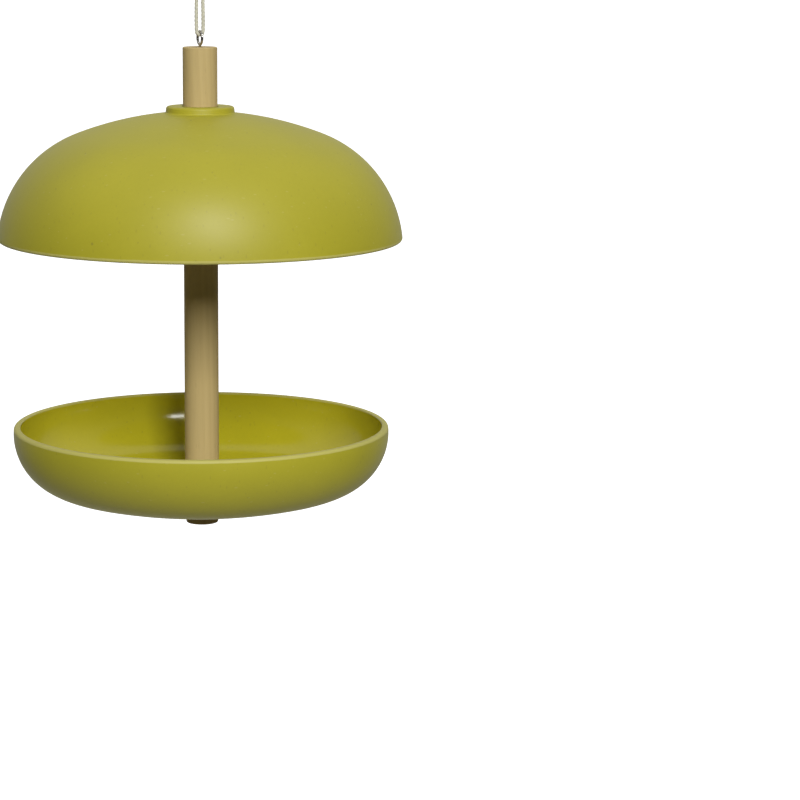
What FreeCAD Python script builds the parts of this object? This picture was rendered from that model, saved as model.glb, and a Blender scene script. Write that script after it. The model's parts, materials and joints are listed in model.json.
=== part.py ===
import FreeCAD, Part
import math
import os
import Sketcher

# A hanging bird feeder: a wooden pole carries a moulded roof and a moulded seed tray, and hangs by a
# screw eye from a loop of cord.  Millimetres, +Z up, front towards -Y.  The origin is the place where
# the loop of cord hangs, just under its knot.

SIZES = (
    ("cord_diameter", 2.1, "cotton cord"),
    ("cord_drop", 70.0, "hanging point down to the middle of the eye's wire, where the cord turns"),
    ("knot_diameter", 7.0, "overhand knot that joins the cord's two ends"),
    ("knot_height", 8.0, "knot, bottom to top"),
    ("knot_waist", 4.9, "knot at its two ends"),
    ("knot_shoulder", 2.4, "knot's end to its full width"),
    ("knot_tail", 8.5, "cord ends above the knot"),
    ("eye_turn", 20.0, "degrees that the eye and the loop are turned about the pole"),
    ("eye_wire", 1.6, "wire of the screw eye"),
    ("eye_ring", 8.0, "eye, measured to the middle of its wire"),
    ("eye_neck", 0.6, "pole's top to the underside of the ring"),
    ("eye_neck_start", 1.12, "neck where it leaves the ring"),
    ("eye_shank", 2.0, "shank of the screw eye"),
    ("eye_shank_length", 16.0, "shank inside the pole"),
    ("pole_diameter", 21.0, "dowel"),
    ("pole_ease", 0.8, "rounding at the pole's ends"),
    ("pole_above_collar", 35.6, "pole that stands above the roof's collar"),
    ("roof_diameter", 246.8, "roof at its rim"),
    ("roof_height", 77.8, "rim plane to the crown, without the collar"),
    ("roof_crown_radius", 209.52, "outer arc over the crown"),
    ("roof_shoulder_level", -6.1, "centre of the shoulder's arc above the rim plane"),
    ("roof_wall", 3.8, "roof's wall"),
    ("roof_play", 0.5, "space round the pole in the roof"),
    ("roof_rim_round", 1.9, "outer edge of the roof's rim"),
    ("roof_rim_break", 1.0, "inner edge of the roof's rim"),
    ("collar_width", 9.5, "collar at its top, from the bore to its edge before rounding"),
    ("collar_draft", 0.5, "extra radius of the collar at its foot"),
    ("collar_rise", 3.2, "collar above the crown"),
    ("collar_round", 1.4, "collar's top edge"),
    ("collar_root_round", 1.6, "fillet between the collar and the roof"),
    ("collar_depth", 1.9, "collar's solid inside the roof's wall"),
    ("hub_width", 6.0, "boss under the roof, from the bore to its side"),
    ("hub_drop", 4.0, "that boss below the roof's inner face"),
    ("running_gap", 0.1, "space between pieces that turn on each other"),
    ("washer_play", 0.3, "space round the pole in the washer and in the tray's socket"),
    ("roof_washer_width", 5.2, "washer that the roof turns on, from its bore to its edge"),
    ("roof_washer_thickness", 2.0, "washer that the roof turns on"),
    ("pin_diameter", 4.0, "steel pin through the pole under the washer"),
    ("pin_inset", 1.0, "washer's edge to the pin's end"),
    ("pin_chamfer", 0.5, "pin's ends"),
    ("feeding_gap", 115.0, "tray's rim plane to the roof's rim plane"),
    ("tray_diameter", 230.9, "tray at its widest"),
    ("tray_height", 52.5, "rim plane to the outside of the floor"),
    ("tray_crown_radius", 328.04, "outer arc over the floor"),
    ("tray_shoulder_level", 4.5, "widest place below the rim plane"),
    ("tray_wall", 4.0, "tray's wall"),
    ("stud_play", 0.3, "space round the stud in the tray"),
    ("tray_rim_round", 2.0, "outer edge of the tray's rim"),
    ("tray_rim_break", 0.9, "inner edge of the tray's rim"),
    ("socket_depth", 6.0, "socket that centres the pole's end in the tray"),
    ("socket_wall", 3.4, "wall of that socket"),
    ("seat_rise", 1.5, "seat of the washer above the tray's floor"),
    ("boss_margin", 0.3, "boss under the tray, beyond the foot"),
    ("boss_root_round", 1.0, "fillet between that boss and the tray"),
    ("boss_drop", 2.0, "that boss below the floor"),
    ("tray_washer_inset", 0.5, "pole's side to the edge of the rubber washer under the pole"),
    ("tray_washer_thickness", 2.0, "rubber washer between the pole and the tray"),
    ("foot_diameter", 19.8, "wooden foot"),
    ("foot_height", 7.3, "wooden foot"),
    ("foot_ease", 0.9, "rounding at the foot's lower edge"),
    ("stud_diameter", 6.0, "threaded stud"),
    ("stud_in_foot", 5.0, "stud glued into the foot"),
    ("stud_in_nut", 15.0, "stud inside the pole"),
    ("thread_pitch", 1.0, "stud's thread, one ring for each turn"),
    ("thread_depth", 0.55, "stud's thread"),
    ("thread_overcut", 0.11, "thread's cutting outline beyond the stud"),
    ("thread_land", 0.05, "flat between two turns of the thread"),
    ("thread_play", 0.05, "space round the stud in the nut"),
    ("nut_diameter", 9.0, "brass nut pressed into the pole"),
    ("nut_length", 14.0, "nut without its flange"),
    ("nut_flange_diameter", 13.0, "flange of the nut"),
    ("nut_flange_thickness", 1.0, "flange of the nut"),
    ("nut_relief", 6.0, "pole's hole beyond the nut"),
)

# Sizes that follow from others, so that the pieces go on fitting each other.
TIED_SIZES = (
    ("roof_bore", "=pole_diameter + 2 * roof_play", "hole for the pole"),
    ("collar_diameter", "=roof_bore + 2 * collar_width", "collar at its top, before rounding"),
    ("hub_diameter", "=roof_bore + 2 * hub_width", "boss under the roof, round the pole"),
    ("washer_bore", "=pole_diameter + 2 * washer_play", "washer's hole, and the tray's socket"),
    ("roof_washer_diameter", "=washer_bore + 2 * roof_washer_width", "washer that the roof turns on"),
    ("pin_length", "=roof_washer_diameter - 2 * pin_inset", "pin, end to end"),
    ("tray_bore", "=stud_diameter + 2 * stud_play", "hole for the stud"),
    ("boss_diameter", "=foot_diameter + 2 * boss_margin", "boss under the tray"),
    ("tray_washer_diameter", "=pole_diameter - 2 * tray_washer_inset", "rubber washer under the pole"),
    # The shoulder's arc starts at the rim and meets the crown's arc smoothly.
    ("roof_half", "=roof_diameter / 2", "roof's radius at its rim"),
    ("roof_drop", "=roof_height - roof_crown_radius - roof_shoulder_level",
     "crown arc's centre above the shoulder arc's"),
    ("roof_spread", "=roof_half^2 - roof_crown_radius^2", "a step towards the shoulder's radius"),
    ("roof_balance", "=roof_spread + roof_drop^2 - roof_shoulder_level^2",
     "a step towards the shoulder's radius"),
    ("roof_shoulder_radius",
     "=(roof_balance * roof_crown_radius - roof_half * sqrt(roof_balance^2"
     " + 4 * roof_shoulder_level^2 * roof_spread)) / (2 * roof_spread)", "outer arc from the rim up"),
    ("tray_half", "=tray_diameter / 2", "tray's radius where it is widest"),
    ("tray_drop", "=tray_height - tray_crown_radius - tray_shoulder_level",
     "crown arc's centre beyond the shoulder arc's"),
    ("tray_shoulder_radius",
     "=(tray_crown_radius^2 - tray_half^2 - tray_drop^2) / (2 * (tray_crown_radius - tray_half))",
     "outer arc from the rim down"),
)

# The cord's route, hung out straight: (across the loop, height) from the hanging point, chosen by hand.
CORD_ROUTE = ((-1.1, 0.0), (-2.25, -60.0), (-2.1, -67.0), (-2.05, -70.85), (-0.85, -72.05),
              (0.85, -72.05), (2.05, -70.85), (2.15, -66.8), (2.2, -59.0), (1.1, 0.0))
CORD_BEND_SHARE = 0.45      # of the shorter run beside a corner, given to the bend

# Heights of the main levels above the origin.
EYE_CENTRE = "(-Sizes.cord_drop - Sizes.eye_ring / 2)"
POLE_TOP = "({0} - Sizes.eye_ring / 2 - Sizes.eye_wire / 2 - Sizes.eye_neck)".format(EYE_CENTRE)
COLLAR_TOP = "(Sizes.roof_height + Sizes.collar_rise)"
ROOF_RIM = "({0} - Sizes.pole_above_collar - {1})".format(POLE_TOP, COLLAR_TOP)
TRAY_RIM = "({0} - Sizes.feeding_gap)".format(ROOF_RIM)

# Heights inside the roof, from its rim plane.
HUB_FACE = "(Sizes.roof_height - Sizes.roof_wall - Sizes.hub_drop)"
WASHER_TOP = "({0} - Sizes.running_gap)".format(HUB_FACE)
PIN_CENTRE = "({0} - Sizes.roof_washer_thickness - Sizes.running_gap - Sizes.pin_diameter / 2)".format(
    WASHER_TOP)

# Depths inside the tray, down from its rim plane.
SEAT = "(Sizes.tray_height - Sizes.tray_wall - Sizes.seat_rise)"
POLE_END = "({0} - Sizes.tray_washer_thickness)".format(SEAT)
BOSS_FACE = "(Sizes.tray_height + Sizes.boss_drop)"
POLE_LENGTH = "({0} - {1} + {2})".format(POLE_TOP, TRAY_RIM, POLE_END)

# Height of the roof's pin from the pole's top.
PIN_HEIGHT = "({0} + {1} - {2})".format(ROOF_RIM, PIN_CENTRE, POLE_TOP)

X_AXIS = FreeCAD.Vector(1, 0, 0)
Y_AXIS = FreeCAD.Vector(0, 1, 0)
Z_AXIS = FreeCAD.Vector(0, 0, 1)
START, END, CENTRE = 1, 2, 3        # a sketch element's points
SIDE_AXIS, UP_AXIS = -1, -2         # a sketch's own axes
RING_REACH = "0.05"                 # how near a ring of edges lies to the place where it is looked for

doc = FreeCAD.newDocument("BirdFeeder")


def make_sheet():
    sheet = doc.addObject("Spreadsheet::Sheet", "Sizes")
    for row, (alias, number, note) in enumerate(SIZES + TIED_SIZES, start=1):
        sheet.set("A%d" % row, note)
        sheet.set("B%d" % row, str(number))
        sheet.setAlias("B%d" % row, alias)
    doc.recompute()
    return sheet


SHEET = make_sheet()


def value(expression):
    return float(SHEET.evalExpression(expression))


def new_body(label, height="0", turn=None):
    """A body whose origin stands on the pole's axis at a height, turned about an axis if asked."""
    body = doc.addObject("PartDesign::Body", label.title().replace("_", ""))
    body.Label = label
    if turn:
        axis, degrees = turn
        body.Placement = FreeCAD.Placement(FreeCAD.Vector(), FreeCAD.Rotation(axis, value(degrees)))
        body.setExpression("Placement.Rotation.Angle", degrees)
    body.setExpression("Placement.Base.z", height)
    return body


def new_sketch(body, name, role="XZ_Plane"):
    plane = [feature for feature in body.Origin.OriginFeatures if feature.Role == role][0]
    sketch = body.newObject("Sketcher::SketchObject", name)
    sketch.AttachmentSupport = [(plane, "")]
    sketch.MapMode = "FlatFace"
    return sketch


def fix(sketch, kind, element, point, expression):
    """Tie one coordinate of a sketch point to an expression."""
    if expression == "0":
        axis = UP_AXIS if kind == "DistanceX" else SIDE_AXIS
        sketch.addConstraint(Sketcher.Constraint("PointOnObject", element, point, axis))
        return
    index = sketch.addConstraint(
        Sketcher.Constraint(kind, SIDE_AXIS, START, element, point, value(expression)))
    sketch.setExpression("Constraints[%d]" % index, expression)


def fix_radius(sketch, element, expression):
    index = sketch.addConstraint(Sketcher.Constraint("Radius", element, value(expression)))
    sketch.setExpression("Constraints[%d]" % index, expression)


def outline(body, name, corners):
    """A closed outline of straight lines through corners given as (radius, height) expressions."""
    sketch = new_sketch(body, name)
    points = [FreeCAD.Vector(value(radius), value(height), 0) for radius, height in corners]
    for start, end in zip(points, points[1:] + points[:1]):
        sketch.addGeometry(Part.LineSegment(start, end), False)
    for index, (radius, height) in enumerate(corners):
        before = (index - 1) % len(corners)
        sketch.addConstraint(Sketcher.Constraint("Coincident", before, END, index, START))
        fix(sketch, "DistanceX", index, START, radius)
        fix(sketch, "DistanceY", index, START, height)
    return sketch


def turn_solid(body, name, sketch, axis="V_Axis", kind="PartDesign::Revolution"):
    """Turn a sketch once round one of its axes, as a solid or as a groove."""
    feature = body.newObject(kind, name)
    feature.Profile = sketch
    feature.ReferenceAxis = (sketch, [axis])
    feature.Angle = 360
    doc.recompute()
    return feature


def round_rings(body, name, base, rings, size, reach=RING_REACH):
    """Round the circular edges of a feature that lie near the given (radius, height) places."""
    chosen = []
    near = value(reach)
    for number, edge in enumerate(base.Shape.Edges, start=1):
        if not isinstance(edge.Curve, Part.Circle):
            continue
        for radius, height in rings:
            off_radius = abs(edge.Curve.Radius - value(radius))
            off_height = abs(edge.Curve.Center.z - value(height))
            if max(off_radius, off_height) < near:
                chosen.append("Edge%d" % number)
    feature = body.newObject("PartDesign::Fillet", name)
    feature.Base = (base, chosen)
    feature.setExpression("Radius", size)
    doc.recompute()
    return feature


def shell(body, part, centre_x):
    """A dome's wall: a shoulder arc and a crown arc that meet smoothly, and the same pair inside."""
    shoulder = "Sizes.{0}_shoulder_radius".format(part)
    level = "Sizes.{0}_shoulder_level".format(part)
    wall = "Sizes.{0}_wall".format(part)
    crown = "Sizes.{0}_crown_radius".format(part)
    shoulder_centre = FreeCAD.Vector(value(centre_x), value(level), 0)
    crown_centre = FreeCAD.Vector(0, value("Sizes.{0}_height - {1}".format(part, crown)), 0)
    joint = math.atan2(shoulder_centre.y - crown_centre.y, shoulder_centre.x)

    sketch = new_sketch(body, part.title() + "Wall")
    ends = []
    for inset in (0.0, value(wall)):
        low = Part.Circle(shoulder_centre, Z_AXIS, value(shoulder) - inset)
        high = Part.Circle(crown_centre, Z_AXIS, value(crown) - inset)
        rim = math.asin(-shoulder_centre.y / low.Radius)
        bore = math.acos(value("Sizes.{0}_bore / 2".format(part)) / high.Radius)
        pair = (Part.ArcOfCircle(low, rim, joint), Part.ArcOfCircle(high, joint, bore))
        ends.append((pair[0].StartPoint, pair[1].EndPoint))
        for arc in pair:
            sketch.addGeometry(arc, False)
    sketch.addGeometry(Part.LineSegment(ends[0][1], ends[1][1]), False)
    sketch.addGeometry(Part.LineSegment(ends[1][0], ends[0][0]), False)
    outer_low, outer_high, inner_low, inner_high, bore_line, rim_line = range(6)

    for low, high in ((outer_low, outer_high), (inner_low, inner_high)):
        sketch.addConstraint(Sketcher.Constraint("Tangent", low, END, high, START))
    for first, first_point, second, second_point in (
            (outer_high, END, bore_line, START), (bore_line, END, inner_high, END),
            (inner_low, START, rim_line, START), (rim_line, END, outer_low, START),
            (outer_low, CENTRE, inner_low, CENTRE), (outer_high, CENTRE, inner_high, CENTRE)):
        sketch.addConstraint(
            Sketcher.Constraint("Coincident", first, first_point, second, second_point))
    sketch.addConstraint(Sketcher.Constraint("Vertical", bore_line))
    sketch.addConstraint(Sketcher.Constraint("Horizontal", rim_line))
    fix(sketch, "DistanceY", rim_line, START, "0")
    fix(sketch, "DistanceX", bore_line, START, "Sizes.{0}_bore / 2".format(part))
    fix(sketch, "DistanceX", outer_low, CENTRE, centre_x)
    fix(sketch, "DistanceY", outer_low, CENTRE, level)
    fix(sketch, "DistanceX", outer_high, CENTRE, "0")
    fix_radius(sketch, outer_low, shoulder)
    fix_radius(sketch, inner_low, shoulder + " - " + wall)
    fix_radius(sketch, outer_high, crown)
    return turn_solid(body, part.title() + "Shell", sketch)


def rim_radius(part, centre_x, inset):
    """Radius of a dome's rim on its outer face, or on its inner face with the wall as the inset."""
    return "({1} + sqrt((Sizes.{0}_shoulder_radius - {2})^2 - Sizes.{0}_shoulder_level^2))".format(
        part, centre_x, inset)


def finish_rim(body, part, centre_x, base):
    outer = rim_radius(part, centre_x, "0")
    inner = rim_radius(part, centre_x, "Sizes.{0}_wall".format(part))
    rounded = round_rings(body, part.title() + "RimRound", base, [(outer, "0")],
                          "Sizes.{0}_rim_round".format(part))
    return round_rings(body, part.title() + "RimBreak", rounded, [(inner, "0")],
                       "Sizes.{0}_rim_break".format(part))


def make_roof():
    """The roof: a dome with a collar on top and a boss underneath, both round the pole."""
    body = new_body("roof", ROOF_RIM)
    centre_x = "({0} / 2 - sqrt({1}^2 - {2}^2))".format(
        "Sizes.roof_diameter", "Sizes.roof_shoulder_radius", "Sizes.roof_shoulder_level")
    shell(body, "roof", centre_x)
    bore = "Sizes.roof_bore / 2"
    collar = "Sizes.collar_diameter / 2"
    collar_foot = "({0} + Sizes.collar_draft)".format(collar)
    inside_wall = "(Sizes.roof_height - Sizes.collar_depth)"
    profile = outline(body, "CollarOutline", (
        (bore, HUB_FACE), ("Sizes.hub_diameter / 2", HUB_FACE), ("Sizes.hub_diameter / 2", inside_wall),
        (collar_foot, inside_wall), (collar, COLLAR_TOP), (bore, COLLAR_TOP)))
    base = turn_solid(body, "Collar", profile)
    base = round_rings(body, "CollarRound", base, [(collar, COLLAR_TOP)], "Sizes.collar_round")
    crown_centre = "(Sizes.roof_height - Sizes.roof_crown_radius)"
    root = "({0} + sqrt(Sizes.roof_crown_radius^2 - ({1})^2))".format(crown_centre, collar_foot)
    base = round_rings(body, "CollarRoot", base, [(collar_foot, root)], "Sizes.collar_root_round",
                       "Sizes.collar_draft")
    finish_rim(body, "roof", centre_x, base)
    return body


def make_tray():
    """The tray, drawn mouth down and turned over: a bowl with a socket inside and a boss outside."""
    body = new_body("tray", TRAY_RIM, (X_AXIS, "180"))
    centre_x = "(Sizes.tray_diameter / 2 - Sizes.tray_shoulder_radius)"
    shell(body, "tray", centre_x)
    bore = "Sizes.tray_bore / 2"
    socket = "Sizes.washer_bore / 2"
    socket_outside = "({0} + Sizes.socket_wall)".format(socket)
    socket_mouth = "({0} - Sizes.socket_depth)".format(SEAT)
    inside_wall = "(Sizes.tray_height - Sizes.tray_wall / 2)"
    boss = "Sizes.boss_diameter / 2"
    profile = outline(body, "SocketOutline", (
        (bore, SEAT), (socket, SEAT), (socket, socket_mouth), (socket_outside, socket_mouth),
        (socket_outside, inside_wall), (boss, inside_wall), (boss, BOSS_FACE), (bore, BOSS_FACE)))
    base = turn_solid(body, "Socket", profile)
    crown_centre = "(Sizes.tray_height - Sizes.tray_crown_radius)"
    root = "({0} + sqrt(Sizes.tray_crown_radius^2 - ({1})^2))".format(crown_centre, boss)
    base = round_rings(body, "BossRoot", base, [(boss, root)], "Sizes.boss_root_round")
    finish_rim(body, "tray", centre_x, base)
    return body


def make_pole():
    """The pole: a dowel with a pilot hole on top, a hole for the nut below and a cross hole."""
    body = new_body("pole", POLE_TOP)
    radius = "Sizes.pole_diameter / 2"
    end = "(-{0})".format(POLE_LENGTH)
    pilot_end = "(-Sizes.eye_shank_length)"
    flange_seat = "({0} + Sizes.nut_flange_thickness)".format(end)
    hole_end = "({0} + Sizes.nut_length + Sizes.nut_relief)".format(flange_seat)
    profile = outline(body, "PoleOutline", (
        ("Sizes.eye_shank / 2", "0"), (radius, "0"), (radius, end),
        ("Sizes.nut_flange_diameter / 2", end), ("Sizes.nut_flange_diameter / 2", flange_seat),
        ("Sizes.nut_diameter / 2", flange_seat), ("Sizes.nut_diameter / 2", hole_end),
        ("0", hole_end), ("0", pilot_end), ("Sizes.eye_shank / 2", pilot_end)))
    base = turn_solid(body, "Dowel", profile)
    base = round_rings(body, "PoleEnds", base, [(radius, "0"), (radius, end)], "Sizes.pole_ease")
    hole = new_sketch(body, "PinHoleSketch", "YZ_Plane")
    hole.addGeometry(Part.Circle(FreeCAD.Vector(0, value(PIN_HEIGHT), 0), Z_AXIS,
                                 value("Sizes.pin_diameter / 2")), False)
    fix(hole, "DistanceX", 0, CENTRE, "0")
    fix(hole, "DistanceY", 0, CENTRE, PIN_HEIGHT)
    fix_radius(hole, 0, "Sizes.pin_diameter / 2")
    pocket = body.newObject("PartDesign::Pocket", "PinHole")
    pocket.Profile = hole
    pocket.Midplane = True
    pocket.setExpression("Length", "Sizes.pole_diameter * 2")
    return body


def make_roof_pin():
    body = new_body("roof_pin", "{0} + {1}".format(ROOF_RIM, PIN_CENTRE), (Y_AXIS, "90"))
    radius = "Sizes.pin_diameter / 2"
    small = "({0} - Sizes.pin_chamfer)".format(radius)
    half = "Sizes.pin_length / 2"
    shoulder = "({0} - Sizes.pin_chamfer)".format(half)
    profile = outline(body, "PinOutline", (
        ("0", "-" + half), (small, "-" + half), (radius, "-" + shoulder), (radius, shoulder),
        (small, half), ("0", half)))
    turn_solid(body, "Pin", profile)
    return body


def make_ring(label, base_height, bore, outside, thickness):
    """A flat washer that stands on a height."""
    body = new_body(label, base_height)
    profile = outline(body, label.title().replace("_", "") + "Outline",
                      ((bore, "0"), (outside, "0"), (outside, thickness), (bore, thickness)))
    turn_solid(body, label.title().replace("_", "") + "Disc", profile)
    return body


def make_screw_eye():
    """The screw eye: a ring of wire, a short neck and the shank that is screwed into the pole."""
    body = new_body("screw_eye", EYE_CENTRE, (Z_AXIS, "Sizes.eye_turn"))
    wire = new_sketch(body, "EyeWireSketch")
    wire.addGeometry(Part.Circle(FreeCAD.Vector(0, value("Sizes.eye_ring / 2"), 0), Z_AXIS,
                                 value("Sizes.eye_wire / 2")), False)
    fix(wire, "DistanceX", 0, CENTRE, "0")
    fix(wire, "DistanceY", 0, CENTRE, "Sizes.eye_ring / 2")
    fix_radius(wire, 0, "Sizes.eye_wire / 2")
    turn_solid(body, "EyeRing", wire, "H_Axis")
    radius = "Sizes.eye_shank / 2"
    inside_wire = "(-Sizes.eye_ring / 2)"
    end = "({0} - {1} - Sizes.eye_shank_length)".format(POLE_TOP, EYE_CENTRE)
    shoulder = "({0} + Sizes.eye_shank)".format(end)
    pole_face = "({0} - {1})".format(POLE_TOP, EYE_CENTRE)
    profile = outline(body, "ShankOutline", (
        ("0", inside_wire), ("Sizes.eye_neck_start / 2", inside_wire), (radius, pole_face),
        (radius, shoulder), ("0", end)))
    turn_solid(body, "Shank", profile)
    return body


def make_insert_nut():
    body = new_body("insert_nut", "{0} - {1}".format(TRAY_RIM, POLE_END))
    bore = "(Sizes.stud_diameter / 2 + Sizes.thread_play)"
    flange = "Sizes.nut_flange_thickness"
    top = "({0} + Sizes.nut_length)".format(flange)
    profile = outline(body, "NutOutline", (
        (bore, "0"), ("Sizes.nut_flange_diameter / 2", "0"), ("Sizes.nut_flange_diameter / 2", flange),
        ("Sizes.nut_diameter / 2", flange), ("Sizes.nut_diameter / 2", top), (bore, top)))
    turn_solid(body, "Nut", profile)
    return body


def make_foot_button():
    """The wooden foot, drawn down from the boss's face."""
    body = new_body("foot_button", "{0} - {1}".format(TRAY_RIM, BOSS_FACE))
    radius = "Sizes.foot_diameter / 2"
    hole = "Sizes.stud_diameter / 2"
    profile = outline(body, "FootOutline", (
        (hole, "0"), (radius, "0"), (radius, "-Sizes.foot_height"), ("0", "-Sizes.foot_height"),
        ("0", "-Sizes.stud_in_foot"), (hole, "-Sizes.stud_in_foot")))
    base = turn_solid(body, "Foot", profile)
    round_rings(body, "FootEase", base, [(radius, "-Sizes.foot_height")], "Sizes.foot_ease")
    return body


def make_foot_stud():
    """The threaded stud: glued into the foot, up through the tray and the washer into the nut."""
    body = new_body("foot_stud", "{0} - {1}".format(TRAY_RIM, BOSS_FACE))
    radius = "Sizes.stud_diameter / 2"
    root = "({0} - Sizes.thread_depth)".format(radius)
    top = "({0} - {1} + Sizes.stud_in_nut)".format(BOSS_FACE, POLE_END)
    shoulder = "({0} - Sizes.thread_depth)".format(top)
    profile = outline(body, "StudOutline", (
        ("0", "-Sizes.stud_in_foot"), (radius, "-Sizes.stud_in_foot"), (radius, shoulder),
        (root, top), ("0", top)))
    turn_solid(body, "Stud", profile)
    outside = "({0} + Sizes.thread_overcut)".format(radius)
    groove_low = "({0} - Sizes.stud_in_nut)".format(top)
    groove = outline(body, "ThreadOutline", (
        (root, "({0} + Sizes.thread_pitch / 2)".format(groove_low)), (outside, groove_low),
        (outside, "({0} + Sizes.thread_pitch - Sizes.thread_land)".format(groove_low))))
    thread = turn_solid(body, "ThreadRing", groove, "V_Axis", "PartDesign::Groove")
    pattern = body.newObject("PartDesign::LinearPattern", "Thread")
    pattern.Originals = [thread]
    pattern.Direction = (groove, ["V_Axis"])
    turns = int(value("Sizes.stud_in_nut / Sizes.thread_pitch")) - 1
    pattern.Occurrences = turns
    pattern.setExpression("Length", "Sizes.thread_pitch * %d" % (turns - 1))
    body.Tip = pattern
    return body


def make_cord_knot():
    """The knot over the hanging point, with the cord's two ends standing out of it."""
    body = new_body("cord_knot", "0", (Z_AXIS, "Sizes.eye_turn"))
    radius = "Sizes.knot_diameter / 2"
    waist = "Sizes.knot_waist / 2"
    profile = outline(body, "KnotOutline", (
        ("0", "0"), (waist, "0"), (radius, "Sizes.knot_shoulder"),
        (radius, "Sizes.knot_height - Sizes.knot_shoulder"), (waist, "Sizes.knot_height"),
        ("0", "Sizes.knot_height")))
    turn_solid(body, "Knot", profile)
    tails = new_sketch(body, "TailSketch", "XY_Plane")
    for index, side in enumerate((-1, 1)):
        across = "%d * (Sizes.cord_diameter / 2 + Sizes.running_gap)" % side
        tails.addGeometry(Part.Circle(FreeCAD.Vector(value(across), 0, 0), Z_AXIS,
                                      value("Sizes.cord_diameter / 2")), False)
        fix(tails, "DistanceX", index, CENTRE, across)
        fix(tails, "DistanceY", index, CENTRE, "0")
        fix_radius(tails, index, "Sizes.cord_diameter / 2")
    pad = body.newObject("PartDesign::Pad", "Tails")
    pad.Profile = tails
    pad.setExpression("Length", "Sizes.knot_height + Sizes.knot_tail")
    return body


def make_hanging_cord():
    """The cord: straight runs joined by tangent arcs, down from the knot, through the eye and back."""
    turn = math.radians(value("Sizes.eye_turn"))
    points = [FreeCAD.Vector(across * math.cos(turn), across * math.sin(turn), height)
              for across, height in CORD_ROUTE]
    radius = value("Sizes.cord_diameter / 2")
    edges = []
    bends = []
    at = points[0]
    for before, corner, after in zip(points, points[1:], points[2:]):
        come, leave = (corner - before).normalize(), (after - corner).normalize()
        angle = come.getAngle(leave)
        reach = CORD_BEND_SHARE * min((corner - before).Length, (after - corner).Length)
        bend = reach / math.tan(angle / 2)
        start, end = corner - come * reach, corner + leave * reach
        inward = (leave - come).normalize()
        middle = corner + inward * (math.hypot(bend, reach) - bend)
        edges.append(Part.LineSegment(at, start).toShape())
        edges.append(Part.Arc(start, middle, end).toShape())
        bends.append(round(bend, 2))
        at = end
    edges.append(Part.LineSegment(at, points[-1]).toShape())
    path = Part.Wire(edges)
    section = Part.Wire([Part.Circle(points[0], points[1] - points[0], radius).toShape()])
    solid = path.makePipeShell([section], True, False)
    feature = doc.addObject("Part::Feature", "HangingCord")
    feature.Shape = solid
    feature.Label = "hanging_cord"
    length = path.Length
    print("cord length %.1f, bends %s, volume against section times length %.4f"
          % (length, bends, solid.Volume / (math.pi * radius ** 2 * length)))
    return feature


def main():
    nodes = [
        make_hanging_cord(),
        make_cord_knot(),
        make_screw_eye(),
        make_pole(),
        make_roof_pin(),
        make_ring("roof_washer", "{0} + {1} - Sizes.roof_washer_thickness".format(ROOF_RIM, WASHER_TOP),
                  "Sizes.washer_bore / 2", "Sizes.roof_washer_diameter / 2",
                  "Sizes.roof_washer_thickness"),
        make_roof(),
        make_tray(),
        make_ring("tray_washer", "{0} - {1}".format(TRAY_RIM, SEAT), "Sizes.tray_bore / 2",
                  "Sizes.tray_washer_diameter / 2", "Sizes.tray_washer_thickness"),
        make_insert_nut(),
        make_foot_button(),
        make_foot_stud(),
    ]
    doc.recompute()
    for item in doc.Objects:
        if "Invalid" in item.State or "Error" in item.State:
            raise RuntimeError("%s did not compute: %s" % (item.Name, item.State))
        if item.TypeId == "Sketcher::SketchObject" and item.solve() != 0:
            raise RuntimeError("%s is not solved" % item.Name)
    for node in nodes:
        shape = node.Shape
        if shape.isNull() or not shape.isValid() or len(shape.Solids) != 1:
            raise RuntimeError("%s is not one valid solid" % node.Label)
    os.makedirs("parts", exist_ok=True)
    for node in nodes:
        node.Shape.exportStep(os.path.join("parts", node.Label + ".step"))
        box = node.Shape.BoundBox
        print("%-14s volume %9.1f  z %8.2f to %8.2f  width %7.2f"
              % (node.Label, node.Shape.Volume, box.ZMin, box.ZMax, box.XLength))


main()
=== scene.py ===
"""Hanging bird feeder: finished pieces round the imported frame, with their finishes and a studio."""

import json
import math

import bmesh
import bpy
from bpy.props import FloatProperty, FloatVectorProperty, PointerProperty
from mathutils import Matrix, Vector


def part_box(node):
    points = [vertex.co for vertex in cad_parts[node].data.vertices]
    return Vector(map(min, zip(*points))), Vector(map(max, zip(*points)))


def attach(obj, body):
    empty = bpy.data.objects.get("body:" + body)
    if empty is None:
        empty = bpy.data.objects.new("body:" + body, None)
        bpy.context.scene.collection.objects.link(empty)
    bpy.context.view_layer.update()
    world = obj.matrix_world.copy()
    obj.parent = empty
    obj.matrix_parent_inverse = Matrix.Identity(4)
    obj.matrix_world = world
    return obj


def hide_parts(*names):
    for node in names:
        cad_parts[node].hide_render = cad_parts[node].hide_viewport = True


bl_info = {
    "name": "Hanging Bird Feeder",
    "version": (1, 0, 0),
    "blender": (4, 5, 0),
    "location": "View3D > Sidebar > Feeder",
    "description": "Builds a hanging bird feeder with a moulded roof and tray on a wooden pole",
    "category": "Add Mesh",
}

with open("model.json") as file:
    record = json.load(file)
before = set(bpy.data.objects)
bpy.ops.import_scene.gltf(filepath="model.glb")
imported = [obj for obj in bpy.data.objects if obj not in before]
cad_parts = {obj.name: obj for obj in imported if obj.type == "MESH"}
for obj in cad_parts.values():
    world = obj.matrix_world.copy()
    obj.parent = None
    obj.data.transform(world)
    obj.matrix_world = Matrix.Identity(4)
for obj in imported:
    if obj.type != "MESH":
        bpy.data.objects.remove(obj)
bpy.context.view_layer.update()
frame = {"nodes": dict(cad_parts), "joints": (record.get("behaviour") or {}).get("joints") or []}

ROUND_STEPS = 240           # faces round a turned piece
ARC_STEPS = 30              # faces along a long arc of an outline
BOX = {node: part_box(node) for node in frame["nodes"]}
JOINT = {joint["name"]: joint for joint in frame["joints"]}


def low(node):
    return BOX[node][0].z


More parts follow.
